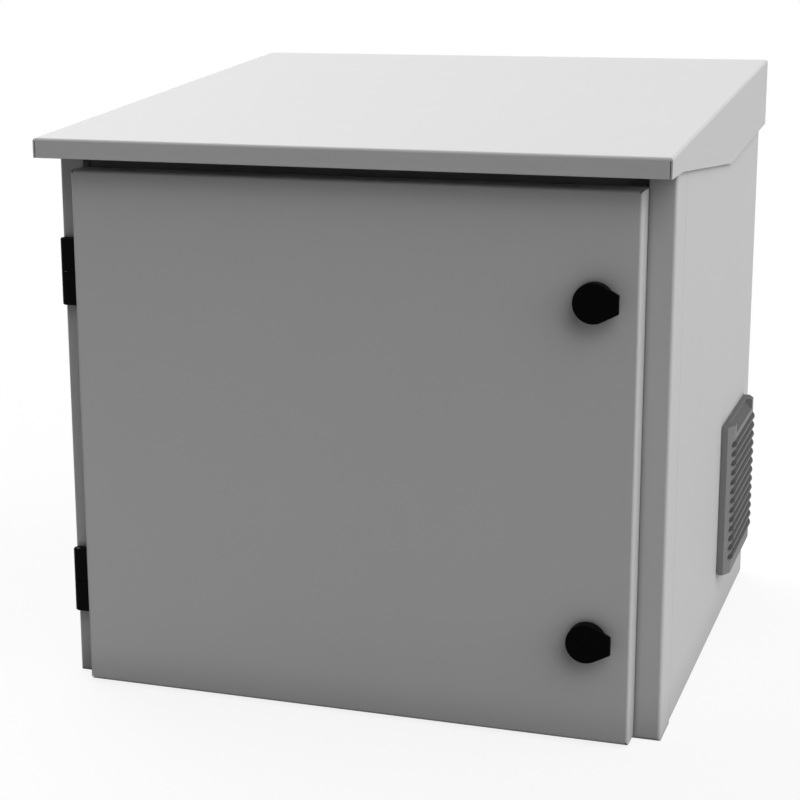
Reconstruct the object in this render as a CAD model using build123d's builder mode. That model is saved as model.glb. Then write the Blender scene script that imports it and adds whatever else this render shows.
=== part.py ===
from build123d import *
from math import acos, atan, cos, degrees
import os

# Outdoor utility cabinet in folded sheet steel, nominally 600 mm each way.
# Millimetres, +Z up, +X to the right of a person who faces the door, -Y towards that person.
# The origin is the middle of the base, on the surface that the cabinet stands on.

# Body
body_width = 600.0
body_depth = 528.0
body_height = 531.0
sheet = 1.5
bend = 3.0
seam_bend = 1.0
join_flange = 20.0
corner_relief = 1.0
overrun = 5.0

# Front frame: the stiles, the recess behind the door and the rain gutter
frame_depth = 47.5
stile = 25.0
head = 6.0
gutter_depth = 12.0
gutter_width = 18.5
lip_reach = 14.0

# Roof
roof_gap = 1.5
roof_front = 46.0
roof_back = 29.0
roof_front_rise = 17.0
roof_back_rise = 69.0
roof_lip = 18.5
gable_shoulder = 7.0
gable_shoulder_drop = 0.5
gable_kink_share = 0.575
gable_kink_drop = 23.0
gable_back_drop = 3.0
fold_slit = 0.8

# Roof brackets between the top plate and the roof, and their bolts
bracket_sheet = 2.0
bracket_flange = 32.0
bracket_length = 480.0
front_bracket_inset = 62.0
rear_bracket_inset = 90.0
roof_bolt_spacing = 400.0
roof_bolt_radius = 4.0
hole_clearance = 0.3
thread_clearance = 0.05

# Vent slots in the top plate, under the roof
top_slot_length = 60.0
top_slot_width = 6.0
top_slot_pitch = 14.0
top_slot_rows = 8
top_slot_columns = 4
top_slot_spacing = 110.0

# Fixing holes in the floor and the back wall
base_hole_radius = 6.0
base_spacing_x = 460.0
base_spacing_y = 360.0
wall_hole_radius = 5.0
wall_spacing_x = 500.0
wall_spacing_z = 400.0

# Rivets that join the front frame to the shell, the floor and the top
rivet_radius = 2.0
rivet_head_radius = 4.0
rivet_head = 1.4
rivet_spacing = 200.0
rivet_rise = 150.0

# Door
door_depth = 26.0
door_standoff = 1.0
door_bottom_gap = 0.5
door_top_gap = 7.5
mitre_reach = 4.0
mitre_slit = 1.2
gasket_width = 12.0
gasket_gap = 0.3
stiffener_width = 40.0
stiffener_depth = 10.0
stiffener_margin = 55.0

# Hinges
hinge_height = 66.0
hinge_spread = 315.0
hinge_drop = 2.3
hinge_thickness = 9.7
hinge_side_gap = 0.6
hinge_back_gap = 0.3
hinge_gap = 0.5
hinge_pin_inset = 1.0
hinge_pin_radius = 3.0
hinge_edge = 1.0
hinge_door_clearance = 2.0
running_clearance = 0.05
hinge_screw_radius = 2.0
hinge_screw_depth = 6.0
hinge_screw_spacing = 14.0
hinge_screw_inset = 4.5

# Locks
lock_inset = 40.0
lock_spread = 315.0
knob_radius = 18.3
knob_tip = 23.4
knob_tip_half = 8.5
knob_thickness = 11.5
wing_thickness = 4.5
knob_edge = 1.2
knob_gap = 0.4
spindle_radius = 6.0
housing_radius = 9.5
housing_flange_radius = 15.0
housing_flange = 1.5
housing_length = 26.0
lock_nut_width = 24.0
lock_nut_height = 6.0
cam_width = 16.0
cam_thickness = 3.0
cam_length = 36.0
cam_gap = 0.5
cam_square = 7.0
cam_screw_radius = 2.0
cam_screw_depth = 8.0

# Screws, bolts and nuts
screw_head_height = 2.4
screw_head_share = 1.9
bolt_head_share = 1.3
nut_width_share = 3.25
nut_height_share = 1.6
thread_end = 0.5

# Rack rails and the rails that carry them
rack_unit = 44.45
rack_hole_side = 9.5
rack_hole_step = 15.875
rack_hole_first = 6.35
rack_hole_inset = 7.55
rack_face = 27.0
rack_return = 30.0
rack_sheet = 2.0
rack_setback = 60.0
support_width = 46.5
support_height = 36.0
support_end_gap = 4.0
support_margin = 8.0
rack_screw_radius = 3.0
rack_screw_spacing = 16.0

# Vent with its fan, low on the right wall
vent_size = 165.0
vent_from_back = 120.5
vent_from_floor = 142.5
vent_rise = 13.0
vent_side_wall = 7.0
vent_bevel = 12.5
vent_wall = 2.0
vent_gap = 0.3
grip_length = 120.0
grip_depth = 7.5
grip_height = 11.0
louvre_count = 13
louvre_pitch = 10.5
louvre_radius = 8.0
louvre_rise = 2.6
louvre_wall = 1.5
louvre_length = 152.0
louvre_slot = 2.5
vent_pivot_inset = 3.4
vent_pin_radius = 1.2
vent_pin_reach = 1.4
vent_ear_radius = 2.2
vent_ear_width = 10.0
vent_cutout = 125.0
cutout_clearance = 0.5
vent_flange = 3.0
vent_flange_size = 149.0
vent_sleeve_depth = 10.0
vent_sleeve_wall = 3.0
filter_size = 134.0
filter_thickness = 3.4

# Fan behind the vent
fan_size = 119.0
fan_depth = 38.0
fan_bore_radius = 56.0
fan_hub_radius = 19.0
fan_spoke_width = 5.0
fan_shaft_radius = 3.0
fan_blade_count = 7
fan_blade_sheet = 2.0
fan_blade_chord = 24.0
fan_end_gap = 2.0
fan_spoke_depth = 4.0
fan_boss = 14.0
fan_screw_grip = 6.0
fan_blade_angle = 38.0
fan_tip_gap = 2.0
fan_hole_spacing = 105.0
fan_screw_radius = 2.0
guard_wire_radius = 1.0
guard_rings = 5

# Cable entry in the floor
gland_width = 300.0
gland_depth = 110.0
gland_from_back = 60.0
gland_border = 20.0
gland_sheet = 2.0
gland_seal = 3.0
gland_screw_radius = 2.5
grommet_radius = 19.0
grommet_flange = 4.0
grommet_height = 6.0
grommet_membrane = 1.5
grommet_spacing = 85.0

# Earth stud
earth_radius = 4.0
earth_length = 22.0
earth_nut_width = 13.0
earth_nut_height = 6.5
earth_inset = 75.0

# Places worked out from the sizes above
half_width = body_width / 2
front = -body_depth / 2
back = body_depth / 2
hem = 2 * sheet
recess_half = half_width - stile
recess_top = body_height - head
frame_back = front + frame_depth
lip_half = recess_half - gutter_width
lip_low = hem + gutter_width
door_half = recess_half
door_low = hem + door_bottom_gap
door_high = recess_top - door_top_gap
lip_high = door_high - gutter_width
door_back = front - door_standoff
door_front = door_back - door_depth
door_skin = door_front + sheet
door_middle = (door_low + door_high) / 2
shell_low = bend
shell_high = body_height - bend
inner_half = half_width - sheet
inner_back = back - sheet
gutter_back = front + gutter_depth + sheet
pivot_radius = hinge_thickness / 2
pivot_x = -half_width + hinge_side_gap + pivot_radius
pivot_y = front - hinge_back_gap - pivot_radius
hinge_middle = door_middle - hinge_drop
hinge_middles = {"lower": hinge_middle - hinge_spread / 2, "upper": hinge_middle + hinge_spread / 2}
hinge_screw_x = -door_half - hinge_door_clearance - hinge_screw_inset
hinge_screw_steps = (-hinge_screw_spacing / 2, hinge_screw_spacing / 2)
frame_screw_zs = [z - hinge_height / 4 + step for z in hinge_middles.values() for step in hinge_screw_steps]
door_screw_zs = [z + hinge_height / 4 + step for z in hinge_middles.values() for step in hinge_screw_steps]
lock_x = door_half - lock_inset
lock_middles = {"lower": door_middle - lock_spread / 2, "upper": door_middle + lock_spread / 2}

os.makedirs("parts", exist_ok=True)


def save(piece, name):
    """Labels a finished piece and writes its file."""
    piece.part.label = name
    export_step(piece.part, f"parts/{name}.step")


def front_plane(y):
    """Sketch plane at depth y, seen from the front: x to the right, z up, extruding to the front."""
    return Plane(origin=(0, y, 0), x_dir=(1, 0, 0), z_dir=(0, -1, 0))


def side_plane(x):
    """Sketch plane at width x, seen from the right: y to the right, z up, extruding to the right."""
    return Plane(origin=(x, 0, 0), x_dir=(0, 1, 0), z_dir=(1, 0, 0))


def box_between(low, high, mode=Mode.ADD):
    """Box from its lowest corner to its highest one, in the part being built."""
    low, high = Vector(low), Vector(high)
    size = high - low
    with Locations((low + high) / 2):
        Box(size.X, size.Y, size.Z, mode=mode)


def add_ring(half, low, high, width, y_front, y_back):
    """Rectangular ring around the door opening, its width measured inwards from the outline."""
    with BuildSketch(front_plane(y_back)) as outline:
        with Locations((0, (low + high) / 2)):
            Rectangle(2 * half, high - low)
            Rectangle(2 * (half - width), high - low - 2 * width, mode=Mode.SUBTRACT)
    extrude(outline.sketch, amount=y_back - y_front)


def folded_tray(low, high, opening, corner=0.0):
    """Sheet tray between two corners, open towards one direction, with rounded folds.

    Its upright corners are sharp, or rounded by the corner radius.
    """
    low, high, opening = Vector(low), Vector(high), Vector(opening)
    wall = Vector(sheet, sheet, sheet)
    reach = opening * (sheet + overrun)
    inner_low = low + wall + Vector(min(reach.X, 0), min(reach.Y, 0), min(reach.Z, 0))
    inner_high = high - wall + Vector(max(reach.X, 0), max(reach.Y, 0), max(reach.Z, 0))
    blocks = []
    for block_low, block_high, inset in ((low, high, 0), (inner_low, inner_high, sheet)):
        with BuildPart() as block:
            box_between(block_low, block_high)
            folds = block.faces().sort_by(Axis((0, 0, 0), opening))[0].edges()
            if corner:
                fillet(block.edges().filter_by(Axis((0, 0, 0), opening)), corner - inset)
                folds = block.faces().sort_by(Axis((0, 0, 0), opening))[0].edges()
            fillet(folds, bend - inset)
        blocks.append(block.part)
    with BuildPart() as tray:
        add(blocks[0])
        add(blocks[1], mode=Mode.SUBTRACT)
    return tray.part


def pan_screw(radius, length):
    """Screw that points down, with the underside of its head at the origin."""
    head_radius = radius * screw_head_share
    with BuildPart() as screw:
        Cylinder(head_radius, screw_head_height, align=(Align.CENTER, Align.CENTER, Align.MIN))
        fillet(screw.faces().sort_by(Axis.Z)[-1].edges(), screw_head_height / 3)
        Cylinder(radius, length, align=(Align.CENTER, Align.CENTER, Align.MAX))
        with BuildSketch(Plane.XY.offset(screw_head_height)):
            RegularPolygon(radius, 6)
        extrude(amount=-screw_head_height / 2, mode=Mode.SUBTRACT)
    return screw.part


def hex_nut(width, height, bore_radius):
    """Nut that stands on the origin, with its width across flats."""
    with BuildPart() as nut:
        with BuildSketch():
            RegularPolygon(width / 2, 6, major_radius=False)
            Circle(bore_radius, mode=Mode.SUBTRACT)
        extrude(amount=height)
    return nut.part


def hex_bolt(radius, length, head_width, head_height):
    """Bolt that points up, with the upper side of its head at the origin."""
    with BuildPart() as bolt:
        with BuildSketch():
            RegularPolygon(head_width / 2, 6, major_radius=False)
        extrude(amount=-head_height)
        Cylinder(radius, length, align=(Align.CENTER, Align.CENTER, Align.MIN))
    return bolt.part


# Front frame: a tray open to the back, cut out behind the door, with the rain gutter folded into it
frame_tray = folded_tray((-half_width, front, 0), (half_width, frame_back, body_height), (0, 1, 0))
rivet_rows = [(x, z) for x in (-rivet_spacing, 0, rivet_spacing) for z in (0, 1)]
rivet_columns = [(s, dz) for s in (-1, 1) for dz in (-rivet_rise, 0, rivet_rise)]
rivet_edge = sheet + join_flange / 2
rivet_places = [(x, rivet_edge if z == 0 else body_height - rivet_edge) for x, z in rivet_rows]
rivet_places += [(s * (half_width - rivet_edge), body_height / 2 + dz) for s, dz in rivet_columns]
with BuildPart() as front_frame:
    add(frame_tray)
    box_between((-recess_half, front - overrun, hem), (recess_half, front + bend, recess_top), Mode.SUBTRACT)
    add_ring(recess_half + sheet, hem - sheet, recess_top + sheet, sheet, front, gutter_back)
    with BuildSketch(front_plane(gutter_back)) as gutter_floor:
        with Locations((0, (hem + recess_top) / 2)):
            Rectangle(2 * recess_half, recess_top - hem)
        with Locations((0, (lip_low + lip_high) / 2)):
            Rectangle(2 * lip_half, lip_high - lip_low, mode=Mode.SUBTRACT)
    extrude(gutter_floor.sketch, amount=sheet)
    add_ring(lip_half, lip_low, lip_high, sheet, front - lip_reach, gutter_back)
    add_ring(inner_half, sheet, body_height - sheet, join_flange, frame_back - sheet, frame_back)
    rear_edges = front_frame.faces().sort_by(Axis.Y)[-1].outer_wire().edges()
    fillet(rear_edges, seam_bend)
    with BuildSketch(front_plane(frame_back)) as frame_rivet_holes:
        with Locations(*rivet_places):
            Circle(rivet_radius + thread_clearance)
    extrude(frame_rivet_holes.sketch, amount=sheet + overrun, mode=Mode.SUBTRACT)
    with BuildSketch(front_plane(front + sheet)) as hinge_holes:
        with Locations(*[(hinge_screw_x, z) for z in frame_screw_zs]):
            Circle(hinge_screw_radius + hole_clearance)
    extrude(hinge_holes.sketch, amount=sheet, mode=Mode.SUBTRACT)
save(front_frame, "front_frame")


# Body shell: both sides and the back, folded from one sheet, with flanges against the frame
vent_y = back - vent_from_back
vent_z = vent_from_floor
with BuildPart() as body_shell:
    with BuildSketch(Plane.XY.offset(shell_low)) as shell_outline:
        with Locations((0, (frame_back + back) / 2)):
            Rectangle(body_width, back - frame_back)
        fillet(shell_outline.vertices().group_by(Axis.Y)[-1], bend)
        fillet(shell_outline.vertices().group_by(Axis.Y)[0], seam_bend)
    extrude(amount=shell_high - shell_low)
    with BuildSketch(Plane.XY.offset(shell_low)) as shell_space:
        with Locations((0, (frame_back + back) / 2)):
            Rectangle(2 * inner_half, back - frame_back - 2 * sheet)
        fillet(shell_space.vertices().group_by(Axis.Y)[-1], bend - sheet)
    extrude(amount=shell_high - shell_low, mode=Mode.SUBTRACT)
    flange_half = inner_half - join_flange
    box_between(
        (-flange_half, frame_back - overrun, shell_low),
        (flange_half, frame_back + sheet + overrun, shell_high),
        Mode.SUBTRACT,
    )
    flange_cut = join_flange + corner_relief
    for cut_low, cut_high in ((0, flange_cut), (body_height - flange_cut, body_height)):
        cut_corner = (inner_half, frame_back + hem, cut_high)
        box_between((-inner_half, frame_back, cut_low), cut_corner, Mode.SUBTRACT)
    box_between(
        (half_width - overrun, vent_y - vent_cutout / 2, vent_z - vent_cutout / 2),
        (half_width + overrun, vent_y + vent_cutout / 2, vent_z + vent_cutout / 2),
        Mode.SUBTRACT,
    )
    with BuildSketch(front_plane(back + overrun)) as wall_holes:
        with Locations((0, body_height / 2)):
            with GridLocations(wall_spacing_x, wall_spacing_z, 2, 2):
                Circle(wall_hole_radius)
    extrude(wall_holes.sketch, amount=sheet + 2 * overrun, mode=Mode.SUBTRACT)
    with BuildSketch(front_plane(frame_back + hem)) as shell_rivet_holes:
        with Locations(*[place for place in rivet_places if abs(place[0]) > flange_half]):
            Circle(rivet_radius + thread_clearance)
    extrude(shell_rivet_holes.sketch, amount=hem + overrun, mode=Mode.SUBTRACT)
save(body_shell, "body_shell")

# Floor tray: cable entry, four fixing holes, and the flange that is riveted to the frame
floor_tray = folded_tray((-inner_half, frame_back, 0), (inner_half, inner_back, join_flange), (0, 0, 1), bend)
gland_y = inner_back - gland_from_back - gland_depth / 2
entry_width = gland_width - 2 * gland_border
entry_depth = gland_depth - 2 * gland_border
gland_screw_x = gland_width - gland_border
gland_screw_y = gland_depth - gland_border
with BuildPart() as floor_plate:
    add(floor_tray)
    with BuildSketch(Plane.XY) as floor_holes:
        with GridLocations(base_spacing_x, base_spacing_y, 2, 2):
            Circle(base_hole_radius)
        with Locations((0, gland_y)):
            Rectangle(entry_width, entry_depth)
            with GridLocations(gland_screw_x, gland_screw_y, 2, 2):
                Circle(gland_screw_radius + thread_clearance)
    extrude(floor_holes.sketch, amount=sheet + overrun, mode=Mode.SUBTRACT)
    with BuildSketch(front_plane(frame_back + hem)) as floor_rivet_holes:
        with Locations(*[place for place in rivet_places if place[1] < join_flange]):
            Circle(rivet_radius + thread_clearance)
    extrude(floor_rivet_holes.sketch, amount=hem + overrun, mode=Mode.SUBTRACT)
save(floor_plate, "floor_plate")

# Top tray: slots that let warm air out under the roof, and holes for the roof bolts
top_low = body_height - join_flange
top_corner = (inner_half, inner_back, body_height)
top_tray = folded_tray((-inner_half, frame_back, top_low), top_corner, (0, 0, -1), bend)
front_bracket_y = front + front_bracket_inset
rear_bracket_y = back - rear_bracket_inset
bolt_ys = (front_bracket_y + bracket_flange / 2, rear_bracket_y + bracket_flange / 2)
roof_bolt_places = [(s * roof_bolt_spacing / 2, y) for s in (-1, 1) for y in bolt_ys]
with BuildPart() as top_plate:
    add(top_tray)
    with BuildSketch(Plane.XY.offset(body_height + overrun)) as top_holes:
        with Locations((0, (bolt_ys[0] + bolt_ys[1]) / 2)):
            with GridLocations(top_slot_spacing, top_slot_pitch, top_slot_columns, top_slot_rows):
                SlotOverall(top_slot_length, top_slot_width)
        with Locations(*roof_bolt_places):
            Circle(roof_bolt_radius + hole_clearance)
    extrude(top_holes.sketch, amount=-sheet - 2 * overrun, mode=Mode.SUBTRACT)
    with BuildSketch(front_plane(frame_back + hem)) as top_rivet_holes:
        with Locations(*[place for place in rivet_places if place[1] > top_low]):
            Circle(rivet_radius + thread_clearance)
    extrude(top_rivet_holes.sketch, amount=hem + overrun, mode=Mode.SUBTRACT)
save(top_plate, "top_plate")

# Rivets through both flanges, with a head on each side
with BuildPart() as frame_rivets:
    rivet_length = 2 * sheet
    with BuildSketch(front_plane(frame_back + sheet)) as rivet_shanks:
        with Locations(*rivet_places):
            Circle(rivet_radius)
    extrude(rivet_shanks.sketch, amount=rivet_length)
    for head_back in (frame_back - sheet, frame_back + sheet + rivet_head):
        with BuildSketch(front_plane(head_back)) as rivet_heads:
            with Locations(*rivet_places):
                Circle(rivet_head_radius)
        extrude(rivet_heads.sketch, amount=rivet_head)
save(frame_rivets, "frame_rivets")

# Roof: folded sheet with a front lip, two gables whose lower edge is a shallow V, and a rear flange
roof_half = half_width + roof_gap + sheet
roof_y0 = front - roof_front
roof_y1 = back + roof_back
roof_slope = (roof_back_rise - roof_front_rise) / (roof_y1 - roof_y0)
roof_tilt = atan(roof_slope)
roof_skin = sheet / cos(roof_tilt)
lip_bottom = body_height + roof_front_rise - roof_lip


def roof_top(y):
    """Height of the roof's upper face at depth y."""
    return body_height + roof_front_rise + (y - roof_y0) * roof_slope


roof_outline = [
    (roof_y0, lip_bottom),
    (roof_y0, roof_top(roof_y0)),
    (roof_y1, roof_top(roof_y1)),
    (roof_y1, body_height - gable_back_drop),
    (front + gable_kink_share * body_depth, body_height - gable_kink_drop),
    (front + gable_shoulder, body_height - gable_shoulder_drop),
]
roof_hollow = [
    (roof_y0 + sheet, body_height - gable_kink_drop - overrun),
    (roof_y0 + sheet, roof_top(roof_y0 + sheet) - roof_skin),
    (roof_y1 - sheet, roof_top(roof_y1 - sheet) - roof_skin),
    (roof_y1 - sheet, body_height - gable_kink_drop - overrun),
]
roof_blocks = []
roof_layers = ((roof_outline, roof_half, bend), (roof_hollow, roof_half - sheet, bend - sheet))
for outline, half, radius in roof_layers:
    with BuildPart() as roof_block:
        with BuildSketch(side_plane(-half)):
            with BuildLine():
                Polyline(*outline, close=True)
            make_face()
        extrude(amount=2 * half)
        fillet(roof_block.faces().sort_by(Axis.Z)[-1].edges(), radius)
    roof_blocks.append(roof_block.part)
with BuildPart() as roof_canopy:
    add(roof_blocks[0])
    add(roof_blocks[1], mode=Mode.SUBTRACT)
    for side in (-1, 1):
        slit_x = side * (roof_half - sheet - fold_slit / 2)
        for slit_y, slit_low, slit_high in (
            (roof_y0, lip_bottom - overrun, roof_top(roof_y0) - bend),
            (roof_y1, lip_bottom - overrun, roof_top(roof_y1) - bend),
        ):
            box_between(
                (slit_x - fold_slit / 2, slit_y - hem, slit_low),
                (slit_x + fold_slit / 2, slit_y + hem, slit_high),
                Mode.SUBTRACT,
            )
save(roof_canopy, "roof_canopy")

# Roof brackets: channels on the top plate whose upper flange follows the roof
brackets = {"roof_front_bracket": front_bracket_y, "roof_rear_bracket": rear_bracket_y}
for bracket_name, bracket_y in brackets.items():
    web_back = bracket_y + bracket_sheet
    flange_back = bracket_y + bracket_flange
    bracket_skin = bracket_sheet / cos(roof_tilt)
    bracket_outline = [
        (bracket_y, body_height),
        (flange_back, body_height),
        (flange_back, body_height + bracket_sheet),
        (web_back, body_height + bracket_sheet),
        (web_back, roof_top(web_back) - roof_skin - bracket_skin),
        (flange_back, roof_top(flange_back) - roof_skin - bracket_skin),
        (flange_back, roof_top(flange_back) - roof_skin),
        (bracket_y, roof_top(bracket_y) - roof_skin),
    ]
    with BuildPart() as roof_bracket:
        with BuildSketch(side_plane(-bracket_length / 2)):
            with BuildLine():
                Polyline(*bracket_outline, close=True)
            make_face()
        extrude(amount=bracket_length)
        with BuildSketch(Plane.XY.offset(body_height + bracket_sheet)) as bracket_holes:
            with Locations(*[(x, y) for x, y in roof_bolt_places if bracket_y < y < flange_back]):
                Circle(roof_bolt_radius + hole_clearance)
        extrude(bracket_holes.sketch, amount=-bracket_sheet, mode=Mode.SUBTRACT)
    save(roof_bracket, bracket_name)

# Roof bolts point up through the top plate, with a nut on each
roof_bolt_head = bolt_head_share * roof_bolt_radius
roof_nut_width = nut_width_share * roof_bolt_radius
roof_nut_height = nut_height_share * roof_bolt_radius
roof_bolt_length = 2 * sheet + bracket_sheet + roof_nut_height
roof_bolt = hex_bolt(roof_bolt_radius, roof_bolt_length, roof_nut_width, roof_bolt_head)
roof_nut = hex_nut(roof_nut_width, roof_nut_height, roof_bolt_radius + thread_clearance)
with BuildPart() as roof_bolts:
    with Locations(*[(x, y, body_height - sheet) for x, y in roof_bolt_places]):
        add(roof_bolt)
save(roof_bolts, "roof_bolts")
with BuildPart() as roof_nuts:
    with Locations(*[(x, y, body_height + bracket_sheet) for x, y in roof_bolt_places]):
        add(roof_nut)
save(roof_nuts, "roof_nuts")

# Door: a folded tray, its corners left open by a narrow mitre
door_tray = folded_tray((-door_half, door_front, door_low), (door_half, door_back, door_high), (0, 1, 0))
with BuildPart() as door_panel:
    add(door_tray)
    for side in (-1, 1):
        for level, turn in ((door_low, side), (door_high, -side)):
            mitre = Location((side * door_half, door_back, level), (0, turn * 45, 0))
            with Locations(mitre):
                Box(2 * mitre_reach, 2 * door_depth + overrun, mitre_slit, mode=Mode.SUBTRACT)
    with BuildSketch(front_plane(door_skin + overrun)) as lock_holes:
        with Locations(*[(lock_x, z) for z in lock_middles.values()]):
            Circle(housing_radius + hole_clearance)
    extrude(lock_holes.sketch, amount=sheet + 2 * overrun, mode=Mode.SUBTRACT)
    with BuildSketch(side_plane(-door_half)) as door_screw_holes:
        with Locations(*[(pivot_y, z) for z in door_screw_zs]):
            Circle(hinge_screw_radius + hole_clearance)
    extrude(door_screw_holes.sketch, amount=sheet, mode=Mode.SUBTRACT)
save(door_panel, "door_panel")

# Foam seal on the inside of the door, opposite the lip of the gutter
gasket_out = (gasket_width - sheet) / 2
with BuildPart() as door_gasket:
    add_ring(
        lip_half + gasket_out,
        lip_low - gasket_out,
        lip_high + gasket_out,
        gasket_width,
        door_skin,
        front - lip_reach - gasket_gap,
    )
save(door_gasket, "door_gasket")

# Hat channel down the middle of the door
hat_foot = stiffener_width / 4
hat_outline = [
    (-stiffener_width / 2, door_skin),
    (-stiffener_width / 2, door_skin + sheet),
    (-hat_foot, door_skin + sheet),
    (-hat_foot, door_skin + stiffener_depth),
    (hat_foot, door_skin + stiffener_depth),
    (hat_foot, door_skin + sheet),
    (stiffener_width / 2, door_skin + sheet),
    (stiffener_width / 2, door_skin),
    (hat_foot - sheet, door_skin),
    (hat_foot - sheet, door_skin + stiffener_depth - sheet),
    (-hat_foot + sheet, door_skin + stiffener_depth - sheet),
    (-hat_foot + sheet, door_skin),
]
with BuildPart() as door_stiffener:
    with BuildSketch(Plane.XY.offset(door_low + stiffener_margin)):
        with BuildLine():
            Polyline(*hat_outline, close=True)
        make_face()
    extrude(amount=door_high - door_low - 2 * stiffener_margin)
save(door_stiffener, "door_stiffener")

# Hinges: a lower half on the stile, an upper half on the door's edge, and a pin through both
for place, middle in hinge_middles.items():
    low, high = middle - hinge_height / 2, middle + hinge_height / 2
    split_low, split_high = middle - hinge_gap / 2, middle + hinge_gap / 2
    block_right = -door_half - hinge_door_clearance
    with BuildPart() as frame_half:
        box_between((pivot_x, pivot_y - pivot_radius, low), (block_right, front, split_low))
        box_between((pivot_x - pivot_radius, pivot_y, low), (block_right, front, split_low))
        with Locations((pivot_x, pivot_y, (low + split_low) / 2)):
            Cylinder(pivot_radius, split_low - low)
        chamfer(frame_half.faces().sort_by(Axis.Z)[0].edges(), hinge_edge)
        with Locations((pivot_x, pivot_y, (low + split_low) / 2)):
            Cylinder(hinge_pin_radius + running_clearance, hinge_height, mode=Mode.SUBTRACT)
        with BuildSketch(front_plane(front)) as stile_screw_holes:
            with Locations(*[(hinge_screw_x, z) for z in frame_screw_zs]):
                Circle(hinge_screw_radius + thread_clearance)
        extrude(stile_screw_holes.sketch, amount=hinge_screw_depth + thread_end, mode=Mode.SUBTRACT)
    save(frame_half, f"{place}_hinge_frame_half")
    with BuildPart() as door_half_block:
        box_between(
            (pivot_x, pivot_y - pivot_radius, split_high),
            (-door_half, pivot_y + pivot_radius, high),
        )
        with Locations((pivot_x, pivot_y, (split_high + high) / 2)):
            Cylinder(pivot_radius, high - split_high)
        top_edges = door_half_block.faces().sort_by(Axis.Z)[-1].edges()
        outer_edges = top_edges.filter_by_position(Axis.X, pivot_x - hinge_height, -door_half - hinge_edge)
        chamfer(outer_edges, hinge_edge)
        with Locations((pivot_x, pivot_y, (split_high + high) / 2)):
            Cylinder(hinge_pin_radius + running_clearance, hinge_height, mode=Mode.SUBTRACT)
        with BuildSketch(side_plane(-door_half)) as edge_screw_holes:
            with Locations(*[(pivot_y, z) for z in door_screw_zs]):
                Circle(hinge_screw_radius + thread_clearance)
        extrude(edge_screw_holes.sketch, amount=-hinge_screw_depth - thread_end, mode=Mode.SUBTRACT)
    save(door_half_block, f"{place}_hinge_door_half")
    with BuildPart() as hinge_pin:
        with Locations((pivot_x, pivot_y, middle)):
            Cylinder(hinge_pin_radius, hinge_height - 2 * hinge_pin_inset)
        chamfer(hinge_pin.edges().filter_by(GeomType.CIRCLE), hinge_pin_radius / 6)
    save(hinge_pin, f"{place}_hinge_pin")

hinge_screw = pan_screw(hinge_screw_radius, hinge_screw_depth + sheet)
with BuildPart() as hinge_frame_screws:
    with Locations(*[Location((hinge_screw_x, front + sheet, z), (-90, 0, 0)) for z in frame_screw_zs]):
        add(hinge_screw)
save(hinge_frame_screws, "hinge_frame_screws")
with BuildPart() as hinge_door_screws:
    with Locations(*[Location((-door_half + sheet, pivot_y, z), (0, 90, 0)) for z in door_screw_zs]):
        add(hinge_screw)
save(hinge_door_screws, "hinge_door_screws")

# Locks: a knob with its spindle, a housing through the door with a nut, and a cam behind the frame
knob_back = door_front - housing_flange - knob_gap
cam_front = gutter_back + cam_gap
cam_back = cam_front + cam_thickness
cam_hole = cam_square + 2 * thread_clearance
tip_angle = degrees(atan(knob_tip_half / knob_tip))
tip_distance = (knob_tip**2 + knob_tip_half**2) ** 0.5
tangent = Vector(knob_radius, 0).rotate(Axis.Z, tip_angle + degrees(acos(knob_radius / tip_distance)))
knob_wing = [
    (tangent.X, tangent.Y),
    (knob_tip, knob_tip_half),
    (knob_tip, -knob_tip_half),
    (tangent.X, -tangent.Y),
]
cam_screw = pan_screw(cam_screw_radius, cam_screw_depth)
for place, middle in lock_middles.items():
    with BuildPart() as knob:
        with BuildSketch(front_plane(knob_back)) as drum_outline:
            with Locations((lock_x, middle)):
                Circle(knob_radius)
        extrude(drum_outline.sketch, amount=knob_thickness)
        with BuildSketch(front_plane(knob_back - knob_thickness + wing_thickness)) as wing_outline:
            with Locations((lock_x, middle)):
                Circle(knob_radius)
                Polygon(*knob_wing, align=None)
        extrude(wing_outline.sketch, amount=wing_thickness)
        fillet(knob.faces().sort_by(Axis.Y)[0].edges(), knob_edge)
        with BuildSketch(front_plane(cam_front)) as spindle_outline:
            with Locations((lock_x, middle)):
                Circle(spindle_radius)
        extrude(spindle_outline.sketch, amount=cam_front - knob_back)
        with BuildSketch(front_plane(cam_back)) as square_outline:
            with Locations((lock_x, middle)):
                Rectangle(cam_square, cam_square)
        extrude(square_outline.sketch, amount=cam_thickness)
        with BuildSketch(front_plane(cam_back)) as thread_outline:
            with Locations((lock_x, middle)):
                Circle(cam_screw_radius + thread_clearance)
        extrude(thread_outline.sketch, amount=cam_screw_depth + thread_end, mode=Mode.SUBTRACT)
    save(knob, f"{place}_lock_knob")
    with BuildPart() as housing:
        with BuildSketch(front_plane(door_front)) as flange_outline:
            with Locations((lock_x, middle)):
                Circle(housing_flange_radius)
        extrude(flange_outline.sketch, amount=housing_flange)
        with BuildSketch(front_plane(door_front + housing_length)) as barrel_outline:
            with Locations((lock_x, middle)):
                Circle(housing_radius)
        extrude(barrel_outline.sketch, amount=housing_length)
        with BuildSketch(front_plane(door_front + housing_length)) as bore_outline:
            with Locations((lock_x, middle)):
                Circle(spindle_radius + running_clearance)
        extrude(bore_outline.sketch, amount=housing_length + housing_flange, mode=Mode.SUBTRACT)
    save(housing, f"{place}_lock_housing")
    with BuildPart() as cam:
        with BuildSketch(front_plane(cam_back)) as cam_outline:
            with Locations((lock_x, middle)):
                Circle(cam_width / 2)
            with Locations((lock_x, middle + cam_length / 2)):
                Rectangle(cam_width, cam_length)
            fillet(cam_outline.vertices().group_by(Axis.Y)[-1], cam_width / 4)
            with Locations((lock_x, middle)):
                Rectangle(cam_hole, cam_hole, mode=Mode.SUBTRACT)
        extrude(amount=cam_thickness)
    save(cam, f"{place}_lock_cam")
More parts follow.
